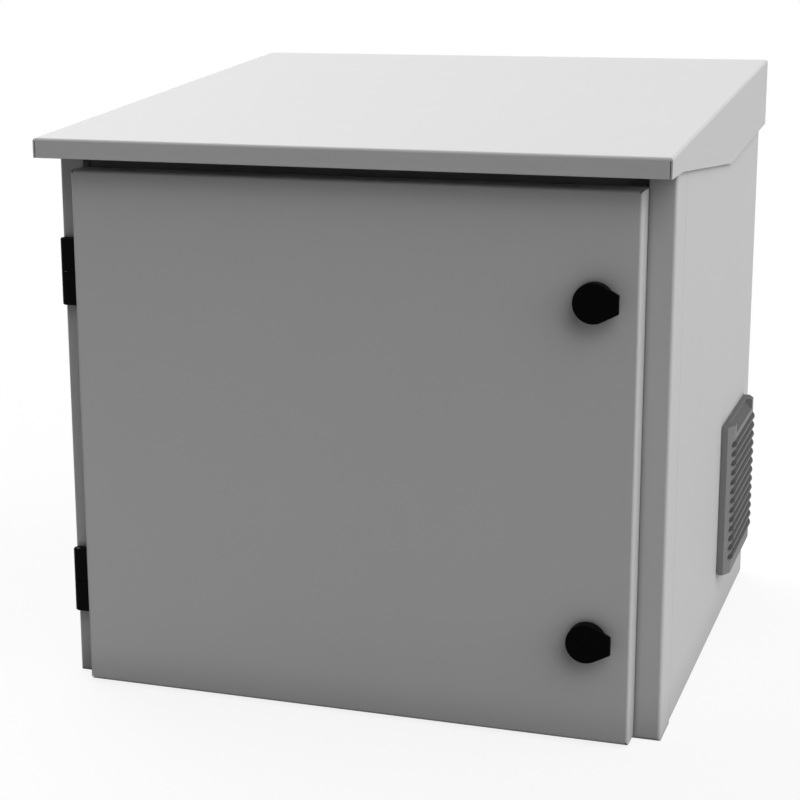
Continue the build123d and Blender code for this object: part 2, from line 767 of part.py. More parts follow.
lock_nut = hex_nut(lock_nut_width, lock_nut_height, housing_radius + thread_clearance)
with BuildPart() as lock_nuts:
    with Locations(*[Location((lock_x, door_skin, z), (-90, 0, 0)) for z in lock_middles.values()]):
        add(lock_nut)
save(lock_nuts, "lock_nuts")
for place, middle in lock_middles.items():
    with BuildPart() as lock_screw:
        with Locations(Location((lock_x, cam_back, middle), (-90, 0, 0))):
            add(cam_screw)
    save(lock_screw, f"{place}_lock_cam_screw")

# Rails: channels along both side walls carry the two upright rails that hold the equipment
rack_half = inner_half - support_width
rack_open_half = rack_half - rack_face
rack_front = front + rack_setback
rail_low = join_flange + support_margin
rail_high = body_height - join_flange - support_margin
rack_units = int((rail_high - rail_low) // rack_unit)
support_front = frame_back + sheet + support_end_gap
support_back = inner_back - support_end_gap
support_levels = {"lower": rail_low, "upper": rail_high - support_height}
rack_screw_y = rack_front + rack_sheet + (rack_return - rack_sheet) / 2
rack_screw_spots = [
    (rack_screw_y + step, level + support_height / 2)
    for level in support_levels.values()
    for step in (-rack_screw_spacing / 2, rack_screw_spacing / 2)
]
for side_name, side in (("left", -1), ("right", 1)):
    for level_name, level in support_levels.items():
        support_outline = [
            (side * inner_half, level),
            (side * inner_half, level + support_height),
            (side * (inner_half - sheet), level + support_height),
            (side * (inner_half - sheet), level + sheet),
            (side * (rack_half + sheet), level + sheet),
            (side * (rack_half + sheet), level + support_height),
            (side * rack_half, level + support_height),
            (side * rack_half, level),
        ]
        with BuildPart() as support_rail:
            with BuildSketch(front_plane(support_back)):
                with BuildLine():
                    Polyline(*support_outline, close=True)
                make_face()
            extrude(amount=support_back - support_front)
            with BuildSketch(side_plane(side * (rack_half + sheet / 2))) as support_holes:
                with Locations(*rack_screw_spots):
                    Circle(rack_screw_radius + thread_clearance)
            extrude(support_holes.sketch, amount=sheet, both=True, mode=Mode.SUBTRACT)
        save(support_rail, f"{side_name}_{level_name}_support_rail")
    rail_outline = [
        (side * rack_half, rack_front),
        (side * rack_half, rack_front + rack_return),
        (side * (rack_half - rack_sheet), rack_front + rack_return),
        (side * (rack_half - rack_sheet), rack_front + rack_sheet),
        (side * rack_open_half, rack_front + rack_sheet),
        (side * rack_open_half, rack_front),
    ]
    first_hole = (rail_low + rail_high - rack_units * rack_unit) / 2 + rack_hole_first
    rack_hole_zs = [
        first_hole + unit * rack_unit + hole * rack_hole_step
        for unit in range(rack_units)
        for hole in range(3)
    ]
    with BuildPart() as rack_rail:
        with BuildSketch(Plane.XY.offset(rail_low)):
            with BuildLine():
                Polyline(*rail_outline, close=True)
            make_face()
        extrude(amount=rail_high - rail_low)
        with BuildSketch(front_plane(rack_front + rack_sheet)) as square_holes:
            with Locations(*[(side * (rack_open_half + rack_hole_inset), z) for z in rack_hole_zs]):
                Rectangle(rack_hole_side, rack_hole_side)
        extrude(square_holes.sketch, amount=rack_sheet, mode=Mode.SUBTRACT)
        with BuildSketch(side_plane(side * (rack_half - rack_sheet / 2))) as rail_holes:
            with Locations(*rack_screw_spots):
                Circle(rack_screw_radius + hole_clearance)
        extrude(rail_holes.sketch, amount=rack_sheet, both=True, mode=Mode.SUBTRACT)
    save(rack_rail, f"{side_name}_rack_rail")

rack_screw = pan_screw(rack_screw_radius, rack_sheet + 2 * sheet)
with BuildPart() as rack_rail_screws:
    for side in (-1, 1):
        screw_x = side * (rack_half - rack_sheet)
        with Locations(*[Location((screw_x, y, z), (0, -side * 90, 0)) for y, z in rack_screw_spots]):
            add(rack_screw)
save(rack_rail_screws, "rack_rail_screws")

# Vent cover: flat ends, bevelled sides, a hand grip cut into its top edge, and rounded rain louvres
cover_back = half_width + vent_gap
cover_shoulder = half_width + vent_side_wall
cover_face = half_width + vent_rise
vent_half = vent_size / 2
vent_low = vent_z - vent_half
vent_high = vent_z + vent_half
vent_pivot_x = cover_back + vent_pivot_inset
vent_pivot_z = vent_low + vent_pivot_inset
louvre_x = cover_face + louvre_rise - louvre_radius
louvre_high = vent_z + louvre_count * louvre_pitch / 2 - louvre_radius
louvre_zs = [louvre_high - step * louvre_pitch for step in range(louvre_count)]
cover_outline = [
    (cover_back, vent_y - vent_half),
    (cover_shoulder, vent_y - vent_half),
    (cover_face, vent_y - vent_half + vent_bevel),
    (cover_face, vent_y + vent_half - vent_bevel),
    (cover_shoulder, vent_y + vent_half),
    (cover_back, vent_y + vent_half),
]
cover_inset = vent_half - vent_wall
cover_hollow = [
    (cover_back - overrun, vent_y - cover_inset),
    (cover_shoulder - vent_wall / 2, vent_y - cover_inset),
    (cover_face - vent_wall, vent_y - cover_inset + vent_bevel - vent_wall / 2),
    (cover_face - vent_wall, vent_y + cover_inset - vent_bevel + vent_wall / 2),
    (cover_shoulder - vent_wall / 2, vent_y + cover_inset),
    (cover_back - overrun, vent_y + cover_inset),
]
grip_outline = [
    (cover_face - grip_depth, vent_high),
    (cover_face - grip_depth, vent_high + overrun),
    (cover_face + overrun, vent_high + overrun),
    (cover_face + overrun, vent_high - grip_height),
    (cover_face, vent_high - grip_height),
]
hood_shapes = []
for hood_radius in (louvre_radius, louvre_radius - louvre_wall):
    hood_run = louvre_length - 2 * louvre_radius
    with BuildPart() as hood:
        for end in (-1, 1):
            hood_end = end * hood_run / 2
            with BuildSketch(front_plane(hood_end)) as quarter:
                Circle(hood_radius)
                Rectangle(hood_radius, hood_radius, align=(Align.MIN, Align.MIN), mode=Mode.INTERSECT)
            extrude(quarter.sketch, amount=end * hood_run / 2)
            revolve(quarter.sketch, axis=Axis((0, hood_end, 0), (0, 0, end)), revolution_arc=90)
    hood_shapes.append(hood.part)
with BuildPart() as vent_cover:
    with BuildSketch(Plane.XY.offset(vent_low)):
        with BuildLine():
            Polyline(*cover_outline, close=True)
        make_face()
    extrude(amount=vent_size)
    swing_edge = vent_cover.edges().filter_by(Axis.Y).sort_by(Axis.X).group_by(Axis.X)[0].sort_by(Axis.Z)[0]
    fillet(swing_edge, vent_pivot_inset)
    with BuildSketch(Plane.XY.offset(vent_low + vent_wall)) as hollow_outline:
        with BuildLine():
            Polyline(*cover_hollow, close=True)
        make_face()
    extrude(hollow_outline.sketch, amount=vent_size - 2 * vent_wall, mode=Mode.SUBTRACT)
    grip_half = grip_length / 2 + vent_wall
    grip_back = cover_face - grip_depth - vent_wall
    box_between(
        (grip_back, vent_y - grip_half, vent_high - grip_height - vent_wall),
        (cover_face, vent_y + grip_half, vent_high),
    )
    with BuildSketch(front_plane(vent_y)) as grip_section:
        with BuildLine():
            Polyline(*grip_outline, close=True)
        make_face()
    extrude(grip_section.sketch, amount=grip_length / 2, both=True, mode=Mode.SUBTRACT)
    with Locations(*[(louvre_x, vent_y, z) for z in louvre_zs]):
        add(hood_shapes[0])
    with Locations(*[(louvre_x, vent_y, z) for z in louvre_zs]):
        add(hood_shapes[1], mode=Mode.SUBTRACT)
    slot_half = louvre_length / 2 - louvre_radius
    for louvre_z in louvre_zs:
        box_between(
            (cover_face - vent_wall - overrun, vent_y - slot_half, louvre_z - louvre_slot),
            (cover_face + overrun, vent_y + slot_half, louvre_z),
            Mode.SUBTRACT,
        )
    notch_length = vent_ear_width + 2 * vent_gap
    for side in (-1, 1):
        notch_middle = vent_y + side * (cover_inset - notch_length / 2)
        box_between(
            (cover_back - overrun, notch_middle - notch_length / 2, vent_low - overrun),
            (vent_pivot_x + vent_ear_radius + vent_gap, notch_middle + notch_length / 2, vent_pivot_z),
            Mode.SUBTRACT,
        )
        with Locations(Location((vent_pivot_x, vent_y + side * cover_inset, vent_pivot_z), (90, 0, 0))):
            Cylinder(vent_pin_radius + running_clearance, 2 * vent_pin_reach + vent_gap, mode=Mode.SUBTRACT)
save(vent_cover, "vent_cover")

# Vent frame: flange on the wall, sleeve through it, ears with the pins that the cover swings on
sleeve_half = vent_cutout / 2 - cutout_clearance
sleeve_back = half_width - vent_sleeve_depth
air_half = sleeve_half - vent_sleeve_wall
ear_out = cover_inset - vent_gap
ear_top = vent_z - vent_flange_size / 2 + vent_ear_width
with BuildPart() as vent_frame:
    with BuildSketch(side_plane(half_width)) as flange_plate:
        with Locations((vent_y, vent_z)):
            Rectangle(vent_flange_size, vent_flange_size)
    extrude(amount=vent_flange)
    with BuildSketch(side_plane(sleeve_back)) as sleeve_outline:
        with Locations((vent_y, vent_z)):
            Rectangle(2 * sleeve_half, 2 * sleeve_half)
    extrude(sleeve_outline.sketch, amount=vent_sleeve_depth)
    with BuildSketch(side_plane(sleeve_back)) as air_outline:
        with Locations((vent_y, vent_z)):
            Rectangle(2 * air_half, 2 * air_half)
            with GridLocations(fan_hole_spacing, fan_hole_spacing, 2, 2):
                Rectangle(fan_boss, fan_boss, mode=Mode.SUBTRACT)
    extrude(air_outline.sketch, amount=vent_sleeve_depth + vent_flange, mode=Mode.SUBTRACT)
    with BuildSketch(side_plane(sleeve_back)) as boss_holes:
        with Locations((vent_y, vent_z)):
            with GridLocations(fan_hole_spacing, fan_hole_spacing, 2, 2):
                Circle(fan_screw_radius + thread_clearance)
    extrude(boss_holes.sketch, amount=fan_screw_grip + vent_wall, mode=Mode.SUBTRACT)
    for side in (-1, 1):
        ear_middle = vent_y + side * (ear_out - vent_ear_width / 2)
        box_between(
            (half_width, ear_middle - vent_ear_width / 2, vent_pivot_z),
            (half_width + vent_flange, ear_middle + vent_ear_width / 2, ear_top),
        )
        with Locations(Location((vent_pivot_x, ear_middle, vent_pivot_z), (90, 0, 0))):
            Cylinder(vent_ear_radius, vent_ear_width)
        with Locations(Location((vent_pivot_x, vent_y + side * ear_out, vent_pivot_z), (90, 0, 0))):
            Cylinder(vent_pin_radius, 2 * vent_pin_reach)
save(vent_frame, "vent_frame")

with BuildPart() as filter_mat:
    filter_x = half_width + vent_flange
    box_between(
        (filter_x, vent_y - filter_size / 2, vent_z - filter_size / 2),
        (filter_x + filter_thickness, vent_y + filter_size / 2, vent_z + filter_size / 2),
    )
save(filter_mat, "filter_mat")

# Fan: square housing on the sleeve, rotor on a shaft in the hub, and a wire guard
fan_back = sleeve_back - fan_depth
hub_front = fan_back + fan_spoke_depth
with BuildPart() as fan_housing:
    with BuildSketch(side_plane(fan_back)) as housing_outline:
        with Locations((vent_y, vent_z)):
            Rectangle(fan_size, fan_size)
            Circle(fan_bore_radius, mode=Mode.SUBTRACT)
            with GridLocations(fan_hole_spacing, fan_hole_spacing, 2, 2):
                Circle(fan_screw_radius + hole_clearance, mode=Mode.SUBTRACT)
    extrude(amount=fan_depth)
    with BuildSketch(side_plane(fan_back)) as spoke_outline:
        with Locations((vent_y, vent_z)):
            Rectangle(2 * fan_bore_radius + fan_spoke_width / 2, fan_spoke_width)
            Rectangle(fan_spoke_width, 2 * fan_bore_radius + fan_spoke_width / 2)
            Circle(fan_hub_radius)
    extrude(spoke_outline.sketch, amount=fan_spoke_depth)
    with BuildSketch(side_plane(fan_back)) as shaft_hole:
        with Locations((vent_y, vent_z)):
            Circle(fan_shaft_radius + running_clearance)
    extrude(shaft_hole.sketch, amount=fan_spoke_depth, mode=Mode.SUBTRACT)
save(fan_housing, "fan_housing")

rotor_back = hub_front + fan_end_gap
rotor_length = sleeve_back - fan_end_gap - rotor_back
blade_length = fan_bore_radius - fan_tip_gap - fan_hub_radius + fan_blade_sheet
blade_middle = fan_hub_radius - fan_blade_sheet + blade_length / 2
with BuildPart() as fan_rotor:
    with BuildSketch(side_plane(rotor_back)) as hub_outline:
        with Locations((vent_y, vent_z)):
            Circle(fan_hub_radius)
    extrude(amount=rotor_length)
    with BuildSketch(side_plane(fan_back)) as shaft_outline:
        with Locations((vent_y, vent_z)):
            Circle(fan_shaft_radius)
    extrude(shaft_outline.sketch, amount=rotor_back - fan_back)
    rotor_centre = Location((rotor_back + rotor_length / 2, vent_y, vent_z))
    blade_seat = Location((0, 0, blade_middle), (0, 0, fan_blade_angle))
    turns = [Location((0, 0, 0), (step * 360 / fan_blade_count, 0, 0)) for step in range(fan_blade_count)]
    with Locations(*[rotor_centre * turn * blade_seat for turn in turns]):
        Box(fan_blade_chord, fan_blade_sheet, blade_length)
save(fan_rotor, "fan_rotor")

guard_wire = 2 * guard_wire_radius
guard_step = fan_bore_radius / guard_rings
guard_reach = fan_hole_spacing * 2**0.5
eyelet_radius = fan_screw_radius + hole_clearance
with BuildPart() as finger_guard:
    with BuildSketch(side_plane(fan_back - guard_wire)):
        with Locations((vent_y, vent_z)):
            for ring in range(guard_rings, 0, -1):
                Circle(ring * guard_step + guard_wire_radius)
                Circle(ring * guard_step - guard_wire_radius, mode=Mode.SUBTRACT)
            Rectangle(guard_reach, guard_wire, rotation=45)
            Rectangle(guard_reach, guard_wire, rotation=-45)
            with GridLocations(fan_hole_spacing, fan_hole_spacing, 2, 2):
                Circle(eyelet_radius + guard_wire)
                Circle(eyelet_radius, mode=Mode.SUBTRACT)
    extrude(amount=guard_wire)
save(finger_guard, "finger_guard")

fan_screw = pan_screw(fan_screw_radius, guard_wire + fan_depth + fan_screw_grip)
with BuildPart() as fan_screws:
    screw_x = fan_back - guard_wire
    for side_y in (-1, 1):
        for side_z in (-1, 1):
            spot = (screw_x, vent_y + side_y * fan_hole_spacing / 2, vent_z + side_z * fan_hole_spacing / 2)
            with Locations(Location(spot, (0, -90, 0))):
                add(fan_screw)
save(fan_screws, "fan_screws")

# Cable entry: a plate with three rubber grommets over the hole in the floor
seal_top = sheet + gland_seal
plate_top = seal_top + gland_sheet
with BuildPart() as gland_plate_gasket:
    with BuildSketch(Plane.XY.offset(sheet)):
        with Locations((0, gland_y)):
            Rectangle(gland_width, gland_depth)
            Rectangle(entry_width, entry_depth, mode=Mode.SUBTRACT)
            with GridLocations(gland_screw_x, gland_screw_y, 2, 2):
                Circle(gland_screw_radius + hole_clearance, mode=Mode.SUBTRACT)
    extrude(amount=gland_seal)
save(gland_plate_gasket, "gland_plate_gasket")
with BuildPart() as gland_plate:
    with BuildSketch(Plane.XY.offset(seal_top)):
        with Locations((0, gland_y)):
            Rectangle(gland_width, gland_depth)
            with GridLocations(grommet_spacing, grommet_spacing, 3, 1):
                Circle(grommet_radius + thread_clearance, mode=Mode.SUBTRACT)
            with GridLocations(gland_screw_x, gland_screw_y, 2, 2):
                Circle(gland_screw_radius + hole_clearance, mode=Mode.SUBTRACT)
    extrude(amount=gland_sheet)
save(gland_plate, "gland_plate")
with BuildPart() as cable_grommets:
    grommet_lip = (grommet_height - gland_sheet) / 2
    with Locations((0, gland_y, seal_top + gland_sheet / 2)):
        with GridLocations(grommet_spacing, grommet_spacing, 3, 1):
            Cylinder(grommet_radius, grommet_height)
    for lip_z in (seal_top - grommet_lip / 2, plate_top + grommet_lip / 2):
        with Locations((0, gland_y, lip_z)):
            with GridLocations(grommet_spacing, grommet_spacing, 3, 1):
                Cylinder(grommet_radius + grommet_flange, grommet_lip)
    with BuildSketch(Plane.XY.offset(plate_top + grommet_lip - grommet_membrane)) as cup_outline:
        with Locations((0, gland_y)):
            with GridLocations(grommet_spacing, grommet_spacing, 3, 1):
                Circle(grommet_radius - grommet_flange)
    extrude(cup_outline.sketch, amount=-grommet_height, mode=Mode.SUBTRACT)
save(cable_grommets, "cable_grommets")
gland_screw = pan_screw(gland_screw_radius, gland_sheet + gland_seal + sheet)
with BuildPart() as gland_plate_screws:
    with Locations((0, gland_y, plate_top)):
        with GridLocations(gland_screw_x, gland_screw_y, 2, 2):
            add(gland_screw)
save(gland_plate_screws, "gland_plate_screws")

# Earth stud on the floor, with its two nuts
earth_place = (-inner_half + earth_inset, frame_back + earth_inset, sheet)
with BuildPart() as earth_stud:
    with Locations(earth_place):
        Cylinder(earth_radius, earth_length, align=(Align.CENTER, Align.CENTER, Align.MIN))
    chamfer(earth_stud.edges().filter_by(GeomType.CIRCLE).sort_by(Axis.Z)[-1], earth_radius / 4)
save(earth_stud, "earth_stud")
earth_nut = hex_nut(earth_nut_width, earth_nut_height, earth_radius + thread_clearance)
with BuildPart() as earth_nuts:
    for nut in range(2):
        with Locations((earth_place[0], earth_place[1], sheet + nut * (earth_nut_height + sheet))):
            add(earth_nut)
save(earth_nuts, "earth_nuts")
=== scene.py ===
"""Looks of an outdoor utility cabinet: powder-coated sheet, moulded plastic, zinc and rubber.

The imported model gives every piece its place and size. This script gives the pieces their finishes,
lights them on a white sweep and sets the camera.
"""

import logging
import math
from dataclasses import dataclass
from enum import Enum
from typing import Any, Optional, Union

import bpy
import numpy as np
from mathutils import Matrix, Vector

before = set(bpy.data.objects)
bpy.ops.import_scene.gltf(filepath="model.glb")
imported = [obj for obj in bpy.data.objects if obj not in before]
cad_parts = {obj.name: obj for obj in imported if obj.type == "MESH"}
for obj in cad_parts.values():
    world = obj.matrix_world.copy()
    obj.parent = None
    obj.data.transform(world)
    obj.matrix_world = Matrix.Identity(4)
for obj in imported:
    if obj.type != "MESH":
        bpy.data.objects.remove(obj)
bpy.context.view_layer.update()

LOG = logging.getLogger("cabinet")
MM = 0.001
Colour = tuple[float, float, float]
Number = Union["Value", float]
BLACK: Colour = (0.0, 0.0, 0.0)
WHITE: Colour = (1.0, 1.0, 1.0)


class Value:
    """A number in a shader graph. Arithmetic on it adds Math nodes to the graph."""

    def __init__(self, graph: "ShaderGraph", socket: bpy.types.NodeSocket) -> None:
        """Wraps an output socket of a graph."""
        self.graph = graph
        self.socket = socket

    def _with(self, operation: str, *numbers: Number) -> "Value":
        """Adds one Math node.

        Args:
            operation: the node's operation.
            numbers: its inputs, as values or plain numbers.

        Returns:
            The node's result.
        """
        inputs = dict(enumerate(numbers))
        node = self.graph.node("ShaderNodeMath", {"operation": operation}, inputs)
        return Value(self.graph, node.outputs[0])

    def __add__(self, other: Number) -> "Value":
        """Sum."""
        return self._with("ADD", self, other)

    __radd__ = __add__

    def __sub__(self, other: Number) -> "Value":
        """Difference."""
        return self._with("SUBTRACT", self, other)

    def __rsub__(self, other: Number) -> "Value":
        """Difference from a plain number."""
        return self._with("SUBTRACT", other, self)

    def __neg__(self) -> "Value":
        """The number with its sign turned."""
        return self._with("SUBTRACT", 0.0, self)

    def __mul__(self, other: Number) -> "Value":
        """Product."""
        return self._with("MULTIPLY", self, other)

    __rmul__ = __mul__

    def __truediv__(self, other: Number) -> "Value":
        """Quotient."""
        return self._with("DIVIDE", self, other)

    def power(self, exponent: Number) -> "Value":
        """The number raised to an exponent."""
        return self._with("POWER", self, exponent)

    def magnitude(self) -> "Value":
        """The number without its sign."""
        return self._with("ABSOLUTE", self)

    def clamped(self) -> "Value":
        """The number kept between 0 and 1."""
        return self._with("MINIMUM", self._with("MAXIMUM", self, 0.0), 1.0)


class ShaderGraph:
    """The nodes of one material or of the world, with the coordinates that its textures read."""

    def __init__(self, tree: bpy.types.NodeTree, output: str, place: str) -> None:
        """Empties a node tree and gives it an output and coordinates.

        Args:
            tree: the node tree.
            output: type of its output node.
            place: name of the coordinates that its textures read.
        """
        self.material: Optional[bpy.types.Material] = None
        self.tree = tree
        self.tree.nodes.clear()
        self.output = self.node(output, {}, {})
        coordinates = self.node("ShaderNodeTexCoord", {}, {}).outputs
        self.place = coordinates[place]
        self.facing = coordinates["Normal"]

    @classmethod
    def of_material(cls, name: str) -> "ShaderGraph":
        """The graph of a new material, whose place is in object coordinates."""
        material = bpy.data.materials.new(name)
        material.use_nodes = True
        graph = cls(material.node_tree, "ShaderNodeOutputMaterial", "Object")
        graph.material = material
        return graph

    @classmethod
    def of_world(cls, world: bpy.types.World) -> "ShaderGraph":
        """The graph of a world, whose place is the direction of view."""
        world.use_nodes = True
        return cls(world.node_tree, "ShaderNodeOutputWorld", "Generated")

    def node(self, kind: str, settings: dict[str, Any], inputs: dict[Any, Any]) -> bpy.types.Node:
        """Adds a node.

        Args:
            kind: the node's type.
            settings: its properties, set first.
            inputs: socket name or index to a value, a socket or a plain setting.

        Returns:
            The new node.
        """
        made = self.tree.nodes.new(kind)
        for key, setting in settings.items():
            setattr(made, key, setting)
        for key, given in inputs.items():
            socket = made.inputs[key]
            if isinstance(given, Value):
                self.tree.links.new(given.socket, socket)
            elif isinstance(given, bpy.types.NodeSocket):
                self.tree.links.new(given, socket)
            else:
                socket.default_value = given
        return made

    def noise(self, size: float, detail: float = 2.0, roughness: float = 0.5) -> Value:
        """Smooth random field.

        Args:
            size: width of its bumps, in metres.
            detail: octaves of finer noise.
            roughness: strength of the finer octaves.

        Returns:
            A number from 0 to 1, about 0.5 on average.
        """
        settings = {"noise_dimensions": "3D"}
        inputs = {"Vector": self.place, "Scale": 1.0 / size, "Detail": detail, "Roughness": roughness}
        return Value(self, self.node("ShaderNodeTexNoise", settings, inputs).outputs["Fac"])

    def cells(self, size: float) -> Value:
        """Random number that is constant in each cell of a foam of that cell size."""
        inputs = {"Vector": self.place, "Scale": 1.0 / size}
        foam = self.node("ShaderNodeTexVoronoi", {"feature": "F1"}, inputs)
        split = self.node("ShaderNodeSeparateColor", {}, {"Color": foam.outputs["Color"]})
        return Value(self, split.outputs[0])

    def part(self, vector: bpy.types.NodeSocket, axis: str) -> Value:
        """One of a vector's three numbers, named X, Y or Z."""
        return Value(self, self.node("ShaderNodeSeparateXYZ", {}, {0: vector}).outputs[axis])

    def upward(self) -> Value:
        """How far the surface faces up: 1 on level ledges, 0 on walls and undersides."""
        return self.part(self.facing, "Z").clamped()

    def corners(self, reach: float) -> Value:
        """How far surfaces within a reach in metres shut this one in: 0 in the open, 1 in a tight gap."""
        node = self.node("ShaderNodeAmbientOcclusion", {"samples": 8}, {"Distance": reach})
        return 1.0 - Value(self, node.outputs["AO"])

    def mix(self, factor: Value, low: Colour, high: Colour) -> bpy.types.NodeSocket:
        """Colour between two colours, by a factor from 0 to 1."""
        inputs = {"Factor": factor, 6: (*low, 1.0), 7: (*high, 1.0)}
        return self.node("ShaderNodeMix", {"data_type": "RGBA"}, inputs).outputs[2]

    def bump(self, height: Value, depth: float, edge: float = 0.0) -> bpy.types.NodeSocket:
        """Surface normal with a relief on it.

        Args:
            height: relief from 0 to 1.
            depth: its depth in metres.
            edge: radius that sharp edges are softened by, in metres, or 0.

        Returns:
            The normal.
        """
        inputs: dict[str, Any] = {"Height": height, "Distance": depth, "Strength": 1.0}
        if edge:
            inputs["Normal"] = self.node("ShaderNodeBevel", {"samples": 4}, {"Radius": edge}).outputs[0]
        return self.node("ShaderNodeBump", {}, inputs).outputs[0]

    def close(self, shader: bpy.types.Node) -> None:
        """Links the last shader to the output."""
        self.tree.links.new(shader.outputs[0], self.output.inputs["Surface"])

    def surface(self, **sockets: Any) -> bpy.types.Material:
        """Closes a material's graph with a Principled surface.

        Args:
            sockets: its inputs, with spaces written as underscores.

        Returns:
            The material.
        """
        inputs = {key.replace("_", " "): given for key, given in sockets.items()}
        self.close(self.node("ShaderNodeBsdfPrincipled", {}, inputs))
        return self.material


def shade(colour: Colour, factor: float) -> Colour:
    """A colour made lighter or darker by a factor."""
    return (colour[0] * factor, colour[1] * factor, colour[2] * factor)


def extent(node: str, axis: int) -> tuple[float, float]:
    """The lowest and highest place of a piece of the frame along an axis, in metres."""
    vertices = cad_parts[node].data.vertices
    places = np.empty(3 * len(vertices), dtype=np.float32)
    vertices.foreach_get("co", places)
    line = places.reshape(-1, 3)[:, axis]
    return float(line.min()), float(line.max())


@dataclass(frozen=True)
class PowderCoat:
    """Baked powder coat: an orange-peel relief, an uneven sheen, and painted shade in its corners and seams,
    darker where nearby surfaces close it in.
    """

    name: str
    colour: Colour
    roughness: float
    peel_size: float = 1.6 * MM
    peel_depth: float = 0.012 * MM
    sheen_spread: float = 0.06
    cloud_size: float = 90.0 * MM
    cloud_strength: float = 0.024
    painted_corner_shade: float = 0.4
    corner_shade_reach: float = 45.0 * MM
    painted_seam_shade: float = 0.6
    seam_shade_reach: float = 5.0 * MM
    specular: float = 0.2
    edge: float = 0.5 * MM

    def marks_and_painted_shade(self, graph: ShaderGraph) -> Value:
        """Share of the colour that shows through the clouds, which are real uneven tone, and through the
        painted shade in corners and seams.
        """
        clouded = 1.0 - self.cloud_strength * graph.noise(self.cloud_size, detail=3.0)
        # Painted shade: darker where nearby surfaces close the spot in, over a wide reach for corners and a
        # short one for seams.
        unshaded_corners = 1.0 - self.painted_corner_shade * graph.corners(self.corner_shade_reach)
        unshaded_seams = 1.0 - self.painted_seam_shade * graph.corners(self.seam_shade_reach)
        return clouded * unshaded_corners * unshaded_seams

    def material(self) -> bpy.types.Material:
        """The finish as a material."""
        graph = ShaderGraph.of_material(self.name)
        peel = graph.noise(self.peel_size, detail=1.5, roughness=0.4)
        return graph.surface(
            # Base colour: the real cloudy tone times the painted shade in corners and seams.
            Base_Color=graph.mix(self.marks_and_painted_shade(graph), BLACK, self.colour),
            Roughness=self.roughness + self.sheen_spread * (peel - 0.5),
            Normal=graph.bump(peel, self.peel_depth, self.edge),
            Specular_IOR_Level=self.specular,
        )


@dataclass(frozen=True)
class MouldedPlastic:
    """Moulded plastic with flow marks and the fine spark-eroded grain of its mould."""

    name: str
    colour: Colour
    roughness: float
    grain_size: float = 0.5 * MM
    grain_depth: float = 0.015 * MM
    sheen_spread: float = 0.1
    flow_size: float = 35.0 * MM
    flow_strength: float = 0.04
    specular: float = 0.3
    edge: float = 0.35 * MM

    def marks_and_painted_shade(self, graph: ShaderGraph) -> Value:
        """Share of the colour that shows through the flow marks."""
        return 1.0 - self.flow_strength * graph.noise(self.flow_size)

    def material(self) -> bpy.types.Material:
        """The finish as a material."""
        graph = ShaderGraph.of_material(self.name)
        grain = graph.noise(self.grain_size, roughness=0.6)
        return graph.surface(
            Base_Color=graph.mix(self.marks_and_painted_shade(graph), BLACK, self.colour),
            Roughness=(self.roughness + self.sheen_spread * (grain - 0.5)).clamped(),
            Normal=graph.bump(grain, self.grain_depth, self.edge),
            Specular_IOR_Level=self.specular,
        )


@dataclass(frozen=True)
class LouvrePlastic(MouldedPlastic):
    """Plastic of a louvred cover, with painted shade: level ledges, the louvres and the grip recess are
    darkened, and the louvres' outer edges are spared it and read as painted highlights.

    The cover's flat face lies across X, with its two upright edges bevelled back.
    """

    cover: str = "vent_cover"
    flat_half: float = 70.0 * MM
    bevel_slope: float = 0.48
    rise: float = 2.6 * MM
    foot: float = 0.3 * MM
    lit_edge_share: float = 0.88
    painted_ledge_shade: float = 0.45
    painted_louvre_shade: float = 0.66
    grip_half: float = 60.0 * MM
    grip_depth: float = 7.3 * MM
    painted_grip_shade: float = 0.45

    def marks_and_painted_shade(self, graph: ShaderGraph) -> Value:
        """Share of the colour that shows besides the flow marks: painted shade makes it less on level ledges,
        on the louvres and in the grip, and the louvres' outer edges are spared it.
        """
        face = extent(self.cover, 0)[1] - self.rise
        middle = sum(extent(self.cover, 1)) / 2.0
        outward = (graph.part(graph.place, "Y") - middle).magnitude()
        bevelled = self.bevel_slope * (outward - self.flat_half).clamped()
        height = graph.part(graph.place, "X") - face + bevelled
        proud = (height / self.foot).clamped()
        lit_edge = ((height / self.rise - self.lit_edge_share) / (1.0 - self.lit_edge_share)).clamped()
        recess = (-height / self.foot).clamped() * ((height + self.grip_depth) / self.foot).clamped()
        grip = recess * ((self.grip_half - outward) / self.foot).clamped()
        # Painted shade: louvres proud of the face and the grip recess darken, the louvres' outer edges are
        # spared and read as lit lines, and level ledges darken the more they face up.
        painted_shade = self.painted_louvre_shade * proud * (1.0 - lit_edge) + self.painted_grip_shade * grip
        return (super().marks_and_painted_shade(graph) - self.painted_ledge_shade * graph.upward()) * (1.0 - painted_shade)


@dataclass(frozen=True)
class ZincSheet:
    """Hot-dip zinc: flat crystals a few millimetres wide, each with its own grey and sheen."""

    name: str
    colour: Colour
    roughness: float
    spangle_size: float = 9.0 * MM
    spangle_strength: float = 0.12
    brush_size: float = 1.2 * MM
    brush_depth: float = 0.006 * MM
    spangle_sheen: float = 0.12
    brush_sheen: float = 0.06

    def material(self) -> bpy.types.Material:
        """The finish as a material."""
        graph = ShaderGraph.of_material(self.name)
        spangle = graph.cells(self.spangle_size)
        brush = graph.noise(self.brush_size, detail=3.0, roughness=0.6)
        low = shade(self.colour, 1.0 - self.spangle_strength)
        high = shade(self.colour, 1.0 + self.spangle_strength)
        return graph.surface(
            Base_Color=graph.mix(spangle, low, high),
            Metallic=1.0,
            Roughness=self.roughness + self.spangle_sheen * spangle + self.brush_sheen * brush,
            Normal=graph.bump(brush, self.brush_depth),
        )


